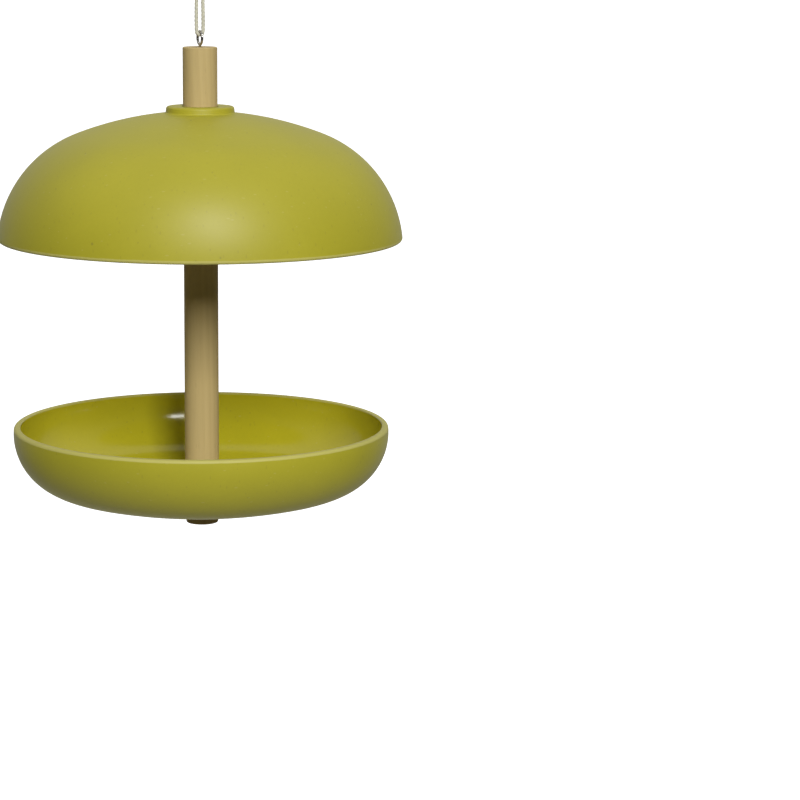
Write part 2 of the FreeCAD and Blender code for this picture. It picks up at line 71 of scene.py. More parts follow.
def high(node):
    return BOX[node][1].z


def radius(node):
    return (BOX[node][1].x - BOX[node][0].x) / 2


SWING_HEIGHT = JOINT["cord_swing"]["pos_m"][2]                    # middle of the eye's wire
SWING_AXIS = Vector(JOINT["cord_swing"]["axis"])
ACROSS = SWING_AXIS.cross(Vector((0, 0, 1)))                      # from strand to strand of the loop
ROOF_RIM_RADIUS = 0.1234
EYE_NECK = 0.0006                                                 # wire between the ring and the pole
EYE_SHANK = 0.012                                                 # wire inside the pole
TURN_OVER = Matrix.Rotation(math.pi, 3, "X")

FLOOR_DROP = 0.45                                                 # floor below the hanging feeder
FLOOR_GLOW = 0.85
# Name, azimuth and elevation in degrees, distance, width, height and power. The first lights the feeder,
# and the others only shine in its gloss.
LIGHTS = (
    ("key", 8.0, 27.5, 6.0, 1.16, 2.25, 338.0),
    ("sheen", 7.2, 40.5, 3.2, 0.45, 0.30, 62.0),
    ("glow", 8.0, 27.0, 3.2, 1.50, 0.50, 22.0),
    ("glint", 15.0, 26.0, 3.2, 0.60, 0.20, 11.0))
SKY_AXIS = (0, 0.5, 0.866)                                        # brightest above and a little behind
OVERHEAD_LIGHT, BACKDROP_LIGHT, LIGHT_FROM_BELOW = 0.60, 0.70, 0.42
CAMERA_LENS = 128.2
CAMERA_DISTANCE = 1.7345
CAMERA_RISE = 0.2119                                              # above the roof's rim plane
CAMERA_TILT, CAMERA_PAN, CAMERA_ROLL = 10.19, 4.045, 0.42         # degrees down, to the right, over

CORD_LAY = 0.0075                                                 # length of one turn of the plies
# The cord's route, hung out straight: (across the loop, height) from the hanging point.
CORD_ROUTE = (
    (-0.0011, 0.0), (-0.00225, -0.060), (-0.0021, -0.067), (-0.00205, -0.07085), (-0.00085, -0.07205),
    (0.00085, -0.07205), (0.00205, -0.07085), (0.00215, -0.0668), (0.0022, -0.059), (0.0011, 0.0))


# ---------------------------------------------------------------- sizes and colours that a user may change

def length(name, description, default, **settings):
    return FloatProperty(name=name, description=description, default=default, min=0.0, unit="LENGTH",
                         precision=5, **settings)


def colour(name, description, default):
    return FloatVectorProperty(name=name, description=description, default=default, size=3, min=0.0,
                               max=1.0, subtype="COLOR")


class FeederSizes(bpy.types.PropertyGroup):
    roof_shoulder: length("Roof shoulder", "Outer arc of the roof from the rim up", 0.0747)
    roof_shoulder_drop: length("Roof shoulder drop", "Centre of that arc below the rim plane", 0.0061)
    roof_wall: length("Roof wall", "Thickness of the roof", 0.0038)
    roof_bore: length("Roof bore", "Radius of the hole for the pole", 0.0110)
    collar_rise: length("Collar rise", "Collar above the roof's crown", 0.0032)
    collar_radius: length("Collar radius", "Collar at its top", 0.0205)
    collar_draft: length("Collar draft", "Extra radius at the collar's foot", 0.0005)
    hub_radius: length("Hub radius", "Boss under the roof", 0.0170)
    hub_drop: length("Hub drop", "That boss below the roof's inner face", 0.0040)
    tray_shoulder: length("Tray shoulder", "Outer arc of the tray from the rim down", 0.0373)
    tray_shoulder_drop: length("Tray shoulder drop", "Centre of that arc below the rim plane", 0.0045)
    tray_wall: length("Tray wall", "Thickness of the tray", 0.0040)
    tray_bore: length("Tray bore", "Radius of the hole for the stud", 0.0033)
    boss_drop: length("Boss drop", "Boss under the tray", 0.0020)
    boss_radius: length("Boss radius", "Boss under the tray", 0.0102)
    socket_radius: length("Socket radius", "Inside of the socket round the pole's end", 0.0108)
    socket_wall: length("Socket wall", "Wall of that socket", 0.0034)
    socket_depth: length("Socket depth", "Depth of that socket", 0.0060)
    cord: length("Cord diameter", "Diameter of the hanging cord", 0.0021)
    wire: length("Eye wire", "Diameter of the screw eye's wire", 0.0016)


class FeederColours(bpy.types.PropertyGroup):
    moulding: colour("Moulding", "Roof and tray", (0.405, 0.368, 0.022))
    # Painted light: the inside colour is a lighter copy of the moulding, for the light that reaches the
    # inside of the tray.
    moulding_inside_painted_light: colour("Moulding inside", "Inside of the roof and tray", (0.455, 0.405, 0.017))
    # Partly painted light: the pale rim colour stands in for the highlight and reflection on the rims'
    # rounded edges, besides a paler rubbed look.
    moulding_rim_wear_and_highlight: colour("Moulding rim", "Where the moulding's edge is rubbed pale", (0.52, 0.48, 0.13))
    fleck_dark: colour("Dark fleck", "Dark fibres in the moulding", (0.16, 0.13, 0.03))
    fleck_pale: colour("Pale fleck", "Pale fibres in the moulding", (0.55, 0.50, 0.16))
    wood_pale: colour("Pale wood", "Early wood of the dowel", (0.535, 0.408, 0.182))
    wood_dark: colour("Dark wood", "Late wood of the dowel", (0.47, 0.347, 0.146))
    # Painted shade: the foot's wood is a darker copy of the dowel's, a slightly darker tone and beyond that
    # the shade under the tray.
    foot_pale_shaded: colour("Pale foot", "Early wood of the foot", (0.34, 0.24, 0.085))
    foot_dark_shaded: colour("Dark foot", "Late wood of the foot", (0.23, 0.145, 0.045))
    cotton: colour("Cotton", "Hanging cord", (0.62, 0.60, 0.47))
    zinc: colour("Zinc", "Plated steel", (0.52, 0.50, 0.46))
    brass: colour("Brass", "Nut inside the pole", (0.70, 0.48, 0.20))
    rubber: colour("Rubber", "Washers", (0.022, 0.022, 0.022))


# ---------------------------------------------------------------- finishes

class Nodes:
    """Adds nodes to a tree, most of them in one call that gives the socket that comes out."""

    def __init__(self, tree):
        self.tree = tree

    def add(self, kind, inputs=None, **settings):
        """A node with its settings made and its inputs given by name or number, as values or as links."""
        node = self.tree.nodes.new(kind)
        for name, value in settings.items():
            setattr(node, name, value)
        for name, value in (inputs or {}).items():
            if isinstance(value, bpy.types.NodeSocket):
                self.tree.links.new(value, node.inputs[name])
            else:
                node.inputs[name].default_value = value
        return node

    def ramp(self, source, start, end, start_to=0.0, end_to=1.0):
        """A smooth change from one number to another, between two values of a socket."""
        return self.add("ShaderNodeMapRange", {
            "Value": source, "From Min": start, "From Max": end, "To Min": start_to,
            "To Max": end_to}, interpolation_type="SMOOTHSTEP").outputs["Result"]

    def maths(self, operation, first, second=0.0):
        return self.add("ShaderNodeMath", {0: first, 1: second}, operation=operation).outputs["Value"]

    def mix(self, factor, first, second):
        """A colour between two others, which are sockets or three plain numbers each."""
        first, second = (value if isinstance(value, bpy.types.NodeSocket) else (*value, 1.0)
                         for value in (first, second))
        # The node has a factor and a pair of inputs for each kind of data; 6 and 7 are the colours.
        return self.add("ShaderNodeMix", {0: factor, 6: first, 7: second}, data_type="RGBA").outputs[2]

    def axis(self, name, source):
        return self.add("ShaderNodeSeparateXYZ", {"Vector": source}).outputs[name]


class Finish(Nodes):
    """A node material under construction."""

    def __init__(self, name):
        self.material = bpy.data.materials.new(name)
        self.material.use_nodes = True
        super().__init__(self.material.node_tree)
        self.shader = self.tree.nodes["Principled BSDF"]
        self.object_place = self.add("ShaderNodeTexCoord").outputs["Object"]

    def set(self, **values):
        """Plain numbers and colours on the shader's own sockets."""
        for name, value in values.items():
            self.shader.inputs[name.replace("_", " ")].default_value = value

    def link(self, name, socket):
        self.tree.links.new(socket, self.shader.inputs[name])

    def place(self, scale=(1, 1, 1), turn=(0, 0, 0), shift=(0, 0, 0)):
        return self.add("ShaderNodeMapping", {
            "Vector": self.object_place, "Scale": scale, "Rotation": turn,
            "Location": shift}).outputs["Vector"]

    def noise(self, scale, detail=2.0, place=None, roughness=0.5):
        return self.add("ShaderNodeTexNoise", {
            "Vector": place or self.object_place, "Scale": scale, "Detail": detail,
            "Roughness": roughness}).outputs["Fac"]

    def cells(self, scale, place):
        """Distance from the nearest cell's middle, and a colour that is the cell's own."""
        node = self.add("ShaderNodeTexVoronoi", {"Vector": place, "Scale": scale})
        return node.outputs["Distance"], node.outputs["Color"]

    def relief(self, *layers):
        """Bump from (height socket, depth in metres, strength) layers, one over the other."""
        normal = None
        for source, depth, strength in layers:
            inputs = {"Height": source, "Distance": depth, "Strength": strength}
            if normal:
                inputs["Normal"] = normal
            normal = self.add("ShaderNodeBump", inputs).outputs["Normal"]
        self.link("Normal", normal)


def moulding_finish(name, colours, tint, rim_height, inward, roughness, patchy, band):
    """Plant-fibre moulding: an even colour with fine fibres, and a pale band at the edge, partly a rubbed,
    rougher look and partly a painted highlight and reflection.
    """
    finish = Finish(name)
    tone = finish.noise(14.0, 3.0)
    fine = finish.noise(420.0, 3.0, roughness=0.6)
    base = finish.mix(finish.ramp(tone, 0.3, 0.7), [0.965 * v for v in tint], [1.04 * v for v in tint])
    base = finish.mix(finish.ramp(fine, 0.35, 0.65, 0.0, 0.10), base, [0.80 * v for v in tint])
    # Short fibres: stretched cells, of which a few show, dark or pale.
    for turn, stretch, scale, reach, share, fibre, seen in (
            ((0.5, 0.9, 0.3), (1.0, 1.0, 0.35), 520.0, 0.30, 0.86, colours.fleck_dark, 0.17),
            ((1.1, 0.2, 0.8), (0.4, 1.0, 1.0), 480.0, 0.28, 0.90, colours.fleck_pale, 0.24),
            ((0.2, 0.6, 1.3), (1.0, 0.35, 1.0), 300.0, 0.20, 0.94, colours.fleck_dark, 0.26),
            ((0.8, 1.2, 0.1), (1.0, 0.6, 0.8), 120.0, 0.11, 0.97, colours.fleck_dark, 0.42)):
        distance, own = finish.cells(scale, finish.place(scale=stretch, turn=turn))
        chosen = finish.ramp(finish.axis("X", own), share, share + 0.004)
        dot = finish.maths("MULTIPLY", finish.ramp(distance, reach, reach * 0.5), chosen)
        base = finish.mix(finish.maths("MULTIPLY", dot, seen), base, fibre)
    # Painted highlight and reflection: a pale band along the rim where its rounded edge faces the light,
    # partly also a rubbed look that is rougher too.
    edge_noise = finish.noise(120.0, 3.0)
    height = finish.maths("ADD", finish.axis("Z", finish.object_place),
                          finish.maths("MULTIPLY", edge_noise, 0.0006))
    rim_wear_and_highlight = finish.ramp(height, rim_height - band * inward, rim_height - (band - 0.0006) * inward)
    base = finish.mix(finish.maths("MULTIPLY", rim_wear_and_highlight, 0.85), base, colours.moulding_rim_wear_and_highlight)
    finish.link("Base Color", base)
    rough = finish.ramp(tone, 0.2, 0.8, roughness - patchy, roughness + patchy)
    finish.link("Roughness", finish.maths("ADD", rough, finish.maths("MULTIPLY", rim_wear_and_highlight, 0.12)))
    finish.relief((finish.noise(900.0, 2.0), 0.0001, 0.10), (finish.noise(55.0, 2.0), 0.0004, 0.12))
    finish.set(IOR=1.5, Specular_IOR_Level=0.42)
    return finish.material


def wood_finish(name, pale, dark, roughness=0.62):
    """Bare wood turned along the grain: growth rings cut lengthwise, short rays and fine pores."""
    finish = Finish(name)
    wobble = finish.noise(38.0, 2.0, finish.place(scale=(1, 1, 0.12)))
    heart = finish.place(shift=(0.031, 0.017, 0.0), turn=(0.03, 0.045, 0.0))
    level = finish.add("ShaderNodeVectorMath", {0: heart, 1: (1, 1, 0)}, operation="MULTIPLY")
    across = finish.add("ShaderNodeVectorMath", {0: level.outputs["Vector"]},
                        operation="LENGTH").outputs["Value"]
    growth = finish.maths("ADD", across, finish.maths("MULTIPLY", wobble, 0.0045))
    rings = finish.maths("FRACT", finish.maths("MULTIPLY", growth, 260.0))
    late = finish.maths("MULTIPLY", finish.ramp(rings, 0.15, 0.8), finish.ramp(rings, 1.0, 0.85))
    streaks = finish.noise(760.0, 3.0, finish.place(scale=(1, 1, 0.06)), 0.6)
    base = finish.mix(finish.maths("MULTIPLY", late, 0.36), pale, dark)
    base = finish.mix(finish.ramp(streaks, 0.42, 0.72, 0.0, 0.12), base, [0.80 * v for v in dark])
    distance, own = finish.cells(620.0, finish.place(scale=(1, 1, 0.16)))
    ray = finish.maths("MULTIPLY", finish.ramp(distance, 0.22, 0.10),
                       finish.ramp(finish.axis("X", own), 0.82, 0.86))
    base = finish.mix(finish.maths("MULTIPLY", ray, 0.35), base, [0.70 * v for v in dark])
    patch = finish.noise(24.0, 2.0, finish.place(scale=(1, 1, 0.5)))
    base = finish.mix(finish.ramp(patch, 0.35, 0.7, 0.0, 0.35), base, [0.86 * v for v in pale])
    finish.link("Base Color", base)
    finish.link("Roughness", finish.ramp(streaks, 0.3, 0.7, roughness - 0.06, roughness + 0.08))
    finish.relief((streaks, 0.0001, 0.16), (ray, 0.0001, 0.2))
    finish.set(IOR=1.45, Specular_IOR_Level=0.2)
    return finish.material


def cotton_finish(colours):
    """Twisted cotton: soft fibres that run with the plies."""
    finish = Finish("natural_cotton")
    fibres = finish.noise(5200.0, 3.0, finish.place(scale=(1, 1, 0.25)), 0.65)
    tone = finish.noise(160.0, 2.0)
    base = finish.mix(finish.ramp(fibres, 0.3, 0.7, 0.0, 0.45), colours.cotton,
                      [0.74 * v for v in colours.cotton])
    base = finish.mix(finish.ramp(tone, 0.35, 0.7, 0.0, 0.2), base, [1.1 * v for v in colours.cotton])
    finish.link("Base Color", base)
    finish.link("Roughness", finish.ramp(fibres, 0.3, 0.7, 0.78, 0.95))
    finish.relief((fibres, 0.00015, 0.5))
    finish.set(Sheen_Weight=0.3, Sheen_Roughness=0.5)
    return finish.material


def metal_finish(name, tint, roughness, dull):
    """Metal with a fine drawn grain and faint dulling."""
    finish = Finish(name)
    drawn = finish.noise(2600.0, 2.0, finish.place(scale=(1, 1, 0.15)))
    cloud = finish.noise(300.0, 3.0)
    finish.link("Base Color", finish.mix(finish.ramp(cloud, 0.35, 0.75, 0.0, dull), tint,
                                         [0.62 * v for v in tint]))
    finish.link("Roughness", finish.ramp(drawn, 0.3, 0.7, roughness, roughness + 0.14))
    finish.relief((drawn, 0.00003, 0.2))
    finish.set(Metallic=1.0)
    return finish.material


def rubber_finish(colours):
    finish = Finish("black_rubber")
    dust = finish.noise(700.0, 3.0)
    finish.link("Base Color", finish.mix(finish.ramp(dust, 0.45, 0.8, 0.0, 0.3), colours.rubber,
                                         (0.09, 0.085, 0.08)))
    finish.link("Roughness", finish.ramp(dust, 0.3, 0.7, 0.55, 0.75))
    finish.relief((dust, 0.0001, 0.2))
    return finish.material


# ---------------------------------------------------------------- shapes

def add_object(name, data):
    """An object in the scene for a mesh, a curve, a light or a camera."""
    made = bpy.data.objects.new(name, data)
    bpy.context.scene.collection.objects.link(made)
    return made


def close_up(mesh):
    """Merges the points that lie on one another and turns every face outwards."""
    bmesh.ops.remove_doubles(mesh, verts=mesh.verts, dist=1e-6)
    bmesh.ops.recalc_face_normals(mesh, faces=mesh.faces)


class Outline:
    """Half of a turned shape's section, drawn from point to point in the XZ plane."""

    def __init__(self, across, height):
        self.mesh = bmesh.new()
        self.start = self.tip = self.mesh.verts.new((across, 0, height))

    def line(self, across, height):
        self.tip = bmesh.ops.extrude_vert_indiv(self.mesh, verts=[self.tip])["verts"][0]
        self.tip.co = (across, 0, height)

    def arc(self, centre, angle, steps=ARC_STEPS):
        """Counter-clockwise for a positive angle, seen with Z up and X to the right."""
        made = bmesh.ops.spin(self.mesh, geom=[self.tip], cent=(centre[0], 0, centre[1]),
                              axis=(0, -1, 0), dvec=(0, 0, 0), angle=angle, steps=steps)
        self.tip = [item for item in made["geom_last"] if isinstance(item, bmesh.types.BMVert)][0]

    def turn(self, closed=True):
        """Turns the outline once round the pole's axis and gives the mesh, facing outwards."""
        mesh = self.mesh
        if closed:
            mesh.edges.new((self.tip, self.start))
        bmesh.ops.spin(mesh, geom=mesh.verts[:] + mesh.edges[:], cent=(0, 0, 0), axis=(0, 0, 1),
                       dvec=(0, 0, 0), angle=math.tau, steps=ROUND_STEPS, use_merge=True)
        close_up(mesh)
        return mesh


def round_ring(mesh, across, height, width, segments=6):
    """Rounds the ring of edges at a distance from the axis and a height."""
    reach = 2e-5

    def on_ring(vertex):
        return (abs(math.hypot(vertex.co.x, vertex.co.y) - across) < reach
                and abs(vertex.co.z - height) < reach)

    edges = [edge for edge in mesh.edges if on_ring(edge.verts[0]) and on_ring(edge.verts[1])]
    if not edges:
        raise RuntimeError("no ring of edges at %.5f, %.5f" % (across, height))
    bmesh.ops.bevel(mesh, geom=edges, offset=width, offset_type="OFFSET", segments=segments,
                    profile=0.5, affect="EDGES", material=-1, clamp_overlap=True)


def make_piece(mesh, name, body, finishes, replaced, even=True):
    """Turns a finished bmesh into a piece that rides on its body and stands for its CAD nodes."""
    for face in mesh.faces:
        face.smooth = True
    data = bpy.data.meshes.new(name)
    mesh.to_mesh(data)
    mesh.free()
    for finish in finishes:
        data.materials.append(finish)
    piece = add_object(name, data)
    if even:
        piece.modifiers.new("EvenShading", "WEIGHTED_NORMAL").keep_sharp = True
    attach(piece, body)
    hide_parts(*replaced)
    return piece


class Dome:
    """The two arcs of a moulded wall: a shoulder from the rim and a crown that meets it smoothly."""

    def __init__(self, rim_radius, rise, shoulder, drop, wall):
        self.wall, self.rise, self.shoulder = wall, rise, shoulder
        self.middle = (rim_radius, drop)
        reach = rise - drop
        self.crown = (rim_radius ** 2 + reach ** 2 - shoulder ** 2) / (2 * (reach - shoulder))
        self.top = (0.0, rise - self.crown)
        self.joint = math.atan2(drop - self.top[1], rim_radius)

    def rim_angle(self, inset=0.0):
        return math.asin(-self.middle[1] / (self.shoulder - inset))

    def rim(self, inset=0.0):
        return self.middle[0] + (self.shoulder - inset) * math.cos(self.rim_angle(inset))

    def height(self, across, inset=0.0):
        """Height of the crown at a distance from the axis."""
        return self.top[1] + math.sqrt((self.crown - inset) ** 2 - across ** 2)

    def is_inside(self, point):
        """Whether a point of the surface is nearer to the inner wall than to the outer one."""
        across = math.hypot(point.x, point.y)
        angle = math.atan2(point.z - self.top[1], across)
        centre, size = (self.top, self.crown) if angle > self.joint else (self.middle, self.shoulder)
        return math.hypot(across - centre[0], point.z - centre[1]) < size - self.wall * 0.6

    def outline(self, outer_end, corners):
        """Rim to crown outside, the given corners round the bore, and crown to rim inside."""
        inner_end = corners[-1][0]
        drawn = Outline(self.rim(), 0.0)
        drawn.arc(self.middle, self.joint - self.rim_angle())
        drawn.arc(self.top, math.acos(outer_end / self.crown) - self.joint, ARC_STEPS * 2)
        for across, height in corners[:-1]:
            drawn.line(across, height)
        inner_crown = self.crown - self.wall
        drawn.line(inner_end, self.height(inner_end, self.wall))
        drawn.arc(self.top, self.joint - math.acos(inner_end / inner_crown), ARC_STEPS * 2)
        drawn.arc(self.middle, self.rim_angle(self.wall) - self.joint)
        return drawn.turn()


def sort_faces(mesh, is_inside):
    """Gives the faces inside a bowl the second finish."""
    for face in mesh.faces:
        face.material_index = int(is_inside(face.calc_center_median()))


def place(across, height, forward=0.0):
    """A point by its distance across the loop, its height and its distance through the loop."""
    return ACROSS * across + SWING_AXIS * forward + Vector((0, 0, height))


def cord_section(diameter, name):
    """Three plies side by side, as a closed curve to sweep."""
    ply_offset, ply_radius, points = diameter * 0.200, diameter * 0.360, 30
    data = bpy.data.curves.new(name, "CURVE")
    data.dimensions = "2D"
    spline = data.splines.new("POLY")
    spline.points.add(points - 1)
    spline.use_cyclic_u = True
    third = math.tau / 3
    for number, point in enumerate(spline.points):
        angle = math.tau * number / points
        lobe = (angle + third / 2) % third - third / 2
        reach = ply_offset * math.cos(lobe) + math.sqrt(ply_radius ** 2 - (ply_offset * math.sin(lobe)) ** 2)
        point.co = (reach * math.cos(angle), reach * math.sin(angle), 0, 1)
    return add_object(name, data)


def start_curve(name):
    data = bpy.data.curves.new(name, "CURVE")
    data.dimensions = "3D"
    data.use_fill_caps = True
    return data


def add_line(data, route):
    """A smooth line along a route of points, from the first to the last."""
    spline = data.splines.new("NURBS")
    spline.points.add(len(route) - 1)
    spline.order_u = 3
    spline.use_endpoint_u = True
    for point, spot in zip(spline.points, route):
        point.co = (*spot, 1)
    return spline


def shaped_mesh(holder):
    """The mesh that a curve gives as it is set up now."""
    bpy.context.view_layer.update()
    shaped = holder.evaluated_get(bpy.context.evaluated_depsgraph_get())
    return bpy.data.meshes.new_from_object(shaped)


def twisted_cord(name, routes, diameter, lay_length, steps):
    """A mesh of three-ply cord along each route of points, and the middle line of the first."""
    section = cord_section(diameter, name + "_section")
    data = start_curve(name)
    data.twist_mode = "MINIMUM"
    data.resolution_u = steps
    data.bevel_mode = "OBJECT"
    data.bevel_object = section
    for route in routes:
        run = 0.0
        for number, point in enumerate(add_line(data, route).points):
            run += (route[number] - route[max(number - 1, 0)]).length
            point.tilt = math.tau * run / lay_length
    holder = add_object(name, data)
    shapes = [shaped_mesh(holder)]
    data.bevel_object, data.bevel_mode = None, "ROUND"
    shapes.append(shaped_mesh(holder))
    line = [vertex.co.copy() for vertex in shapes[1].vertices]
    mesh = bmesh.new()
    mesh.from_mesh(shapes[0])
    for item in (holder, section):
        bpy.data.objects.remove(item)
    for spare in shapes:
        bpy.data.meshes.remove(spare)
    close_up(mesh)
    return mesh, line


# ---------------------------------------------------------------- pieces

def choices(context):
    """The sizes and colours that are set in the panel."""
    return context.scene.feeder_sizes, context.scene.feeder_colours


class FEEDER_OT_roof(bpy.types.Operator):
    """Make the moulded roof with its collar"""
    bl_idname = "feeder.roof"
    bl_label = "Roof"
    bl_options = {"REGISTER", "UNDO"}

    def execute(self, context):
        sizes, colours = choices(context)
        rim_plane, collar_top = low("roof"), high("roof") - low("roof")
        shoulder, drop = sizes.roof_shoulder, -sizes.roof_shoulder_drop
        rim_reach = ROOF_RIM_RADIUS - math.sqrt(shoulder ** 2 - drop ** 2)
        dome = Dome(rim_reach, collar_top - sizes.collar_rise, shoulder, drop, sizes.roof_wall)
        foot = sizes.collar_radius + sizes.collar_draft
        hub_face = dome.rise - dome.wall - sizes.hub_drop
        mesh = dome.outline(foot, (
            (sizes.collar_radius, collar_top), (sizes.roof_bore, collar_top), (sizes.roof_bore, hub_face),
            (sizes.hub_radius, hub_face), (sizes.hub_radius, None)))
        sort_faces(mesh, dome.is_inside)
        round_ring(mesh, foot, dome.height(foot), 0.0016)
        round_ring(mesh, sizes.collar_radius, collar_top, 0.0014)
        round_ring(mesh, sizes.roof_bore, collar_top, 0.0003, 2)
        round_ring(mesh, sizes.hub_radius, hub_face, 0.0008, 4)
        round_ring(mesh, dome.rim(), 0.0, 0.0019, 8)
        round_ring(mesh, dome.rim(dome.wall), 0.0, 0.0010, 5)
        bmesh.ops.translate(mesh, verts=mesh.verts, vec=(0, 0, rim_plane))
        make_piece(mesh, "roof_moulding", "roof", (
            moulding_finish("moulding_roof_outside", colours, colours.moulding, rim_plane, -1,
                            roughness=0.51, patchy=0.03, band=0.0028),
            moulding_finish("moulding_roof_inside", colours, colours.moulding_inside_painted_light, rim_plane, -1,
                            roughness=0.36, patchy=0.04, band=0.0012)), ["roof"])
        return {"FINISHED"}


class FEEDER_OT_tray(bpy.types.Operator):
    """Make the moulded seed tray with the socket for the pole"""
    bl_idname = "feeder.tray"
    bl_label = "Tray"
    bl_options = {"REGISTER", "UNDO"}

    def execute(self, context):
        sizes, colours = choices(context)
        rim_plane, depth = high("tray"), high("tray") - low("tray")
        shoulder, drop = sizes.tray_shoulder, sizes.tray_shoulder_drop
        dome = Dome(radius("tray") - shoulder, depth - sizes.boss_drop, shoulder, drop, sizes.tray_wall)
        seat = rim_plane - low("tray_washer")
        socket_outside = sizes.socket_radius + sizes.socket_wall
        mouth = seat - sizes.socket_depth
        mesh = dome.outline(sizes.boss_radius, (
            (sizes.boss_radius, depth), (sizes.tray_bore, depth), (sizes.tray_bore, seat),
            (sizes.socket_radius, seat), (sizes.socket_radius, mouth), (socket_outside, mouth),
            (socket_outside, None)))
        sort_faces(mesh, dome.is_inside)
        round_ring(mesh, sizes.boss_radius, dome.height(sizes.boss_radius), 0.0010, 4)
        round_ring(mesh, sizes.boss_radius, depth, 0.0004, 3)
        round_ring(mesh, socket_outside, mouth, 0.0010, 4)
        round_ring(mesh, sizes.socket_radius, mouth, 0.0004, 3)
        round_ring(mesh, socket_outside, dome.height(socket_outside, dome.wall), 0.0012, 4)
        round_ring(mesh, dome.rim(), 0.0, 0.0020, 8)
        round_ring(mesh, dome.rim(dome.wall), 0.0, 0.0009, 5)
        bmesh.ops.rotate(mesh, verts=mesh.verts, cent=(0, 0, 0), matrix=TURN_OVER)
        bmesh.ops.translate(mesh, verts=mesh.verts, vec=(0, 0, rim_plane))
        make_piece(mesh, "tray_moulding", "tray", (
            moulding_finish("moulding_tray_outside", colours, colours.moulding, rim_plane, 1,
                            roughness=0.50, patchy=0.03, band=0.0018),
            # The inside's lighter colour is painted light inside the tray.
            moulding_finish("moulding_tray_inside", colours, colours.moulding_inside_painted_light, rim_plane, 1,
                            roughness=0.16, patchy=0.04, band=0.0012)), ["tray"])
        return {"FINISHED"}


def turned_rod(across, bottom, top, ease):
    """A rod round the pole's axis with its two ends eased."""
    drawn = Outline(0.0, bottom)
    quarter = math.pi / 2
    drawn.line(across * 0.5, bottom)
    drawn.line(across - ease, bottom)
    drawn.arc((across - ease, bottom + ease), quarter, 6)
    rings = max(2, round((top - bottom) / 0.004))
    for number in range(1, rings + 1):
        drawn.line(across, bottom + ease + (top - bottom - 2 * ease) * number / rings)
    drawn.arc((across - ease, top - ease), quarter, 6)
    drawn.line(across * 0.5, top)
    drawn.line(0.0, top)
    return drawn.turn(closed=False)


class FEEDER_OT_pole(bpy.types.Operator):
    """Make the wooden pole"""
    bl_idname = "feeder.pole"
    bl_label = "Pole"
    bl_options = {"REGISTER", "UNDO"}

    def execute(self, context):
        _, colours = choices(context)
        mesh = turned_rod(radius("pole"), low("pole"), high("pole"), 0.0008)
        make_piece(mesh, "pole_dowel", "feeder",
                   [wood_finish("beech_dowel", colours.wood_pale, colours.wood_dark)], ["pole"])
        return {"FINISHED"}


class FEEDER_OT_foot(bpy.types.Operator):
    """Make the wooden foot under the tray"""
    bl_idname = "feeder.foot"
    bl_label = "Foot"
    bl_options = {"REGISTER", "UNDO"}

    def execute(self, context):
        _, colours = choices(context)
        mesh = turned_rod(radius("foot_button"), low("foot_button"), high("foot_button"), 0.0009)
        # Painted shade: the foot gets the darker wood for the shade under the tray.
        make_piece(mesh, "foot_turned", "foot",
                   [wood_finish("foot_wood", colours.foot_pale_shaded, colours.foot_dark_shaded)], ["foot_button"])
        return {"FINISHED"}


class FEEDER_OT_screw_eye(bpy.types.Operator):
    """Make the screw eye from one bent wire"""
    bl_idname = "feeder.screw_eye"
    bl_label = "Screw Eye"
    bl_options = {"REGISTER", "UNDO"}

    def execute(self, context):
        sizes, colours = choices(context)
        ring = (high("screw_eye") - sizes.wire / 2 - (high("pole") + EYE_NECK + sizes.wire / 2)) / 2
        middle = Vector((0, 0, SWING_HEIGHT - ring))
        neck = -ring - EYE_NECK - sizes.wire / 2
        # The shank in the pole, and the bend from the neck into the open ring.
        route = [(0, neck - EYE_SHANK), (0, neck), (0, -ring - 0.0005), (-0.0007, -ring + 0.0001)]
        turns, first, last = 22, math.radians(24), math.radians(338)
        for number in range(turns + 1):
            angle = first + (last - first) * number / turns
            route.append((-ring * math.sin(angle), -ring * math.cos(angle)))
        data = start_curve("screw_eye_wire")
        data.bevel_depth = sizes.wire / 2
        data.bevel_resolution = 8
        data.resolution_u = 8
        add_line(data, [middle + SWING_AXIS * along + Vector((0, 0, height)) for along, height in route])
        holder = add_object("screw_eye_wire", data)
        shaped = shaped_mesh(holder)
        mesh = bmesh.new()
        mesh.from_mesh(shaped)
        bpy.data.objects.remove(holder)
        bpy.data.meshes.remove(shaped)
        close_up(mesh)
        make_piece(mesh, "screw_eye_wire", "feeder",
                   [metal_finish("zinc_eye", colours.zinc, 0.16, 0.35)], ["screw_eye"])
        return {"FINISHED"}


def tied_knot(cord, cotton):
    """One strand runs straight up, and the other winds round it three times and goes up beside it."""
    pitch, top = cord * 1.02, high("cord_knot")
    wide, deep, turns, per_turn = 0.0027, 0.0021, 3, 10
    first = [place(-0.0011, 0.0), place(-0.0012, 0.003), place(-0.0010, 0.0065),
             place(-0.0014, 0.0105), place(-0.0017, top - 0.0005)]
    second = [place(0.0011, 0.0), place(0.0019, 0.0006)]
    for number in range(turns * per_turn):
        angle = math.tau * number / per_turn
        height = 0.0011 + pitch * angle / math.tau
        second.append(place(wide * math.cos(angle), height, deep * math.sin(angle)))
    second += [place(0.0016, 0.0088), place(0.0011, 0.0106), place(0.0020, top - 0.0022),
               place(0.0026, top - 0.0012)]
    mesh, _ = twisted_cord("cord_knot_tied", [first, second], cord * 0.97, CORD_LAY, 12)
    return make_piece(mesh, "cord_knot_tied", "hanger", [cotton], ["cord_knot"], even=False)


class FEEDER_OT_cord(bpy.types.Operator):
    """Make the loop of cord and the knot that closes it"""
    bl_idname = "feeder.cord"
    bl_label = "Cord and Knot"
    bl_options = {"REGISTER", "UNDO"}

    def execute(self, context):
        sizes, colours = choices(context)
        cotton = cotton_finish(colours)
        mesh, line = twisted_cord("cord_loop", [[place(*point) for point in CORD_ROUTE]], sizes.cord,
                                  CORD_LAY, 60)
        cord = make_piece(mesh, "cord_loop", "hanger", [cotton], ["hanging_cord"], even=False)
        knot = tied_knot(sizes.cord, cotton)
        return {"FINISHED"}


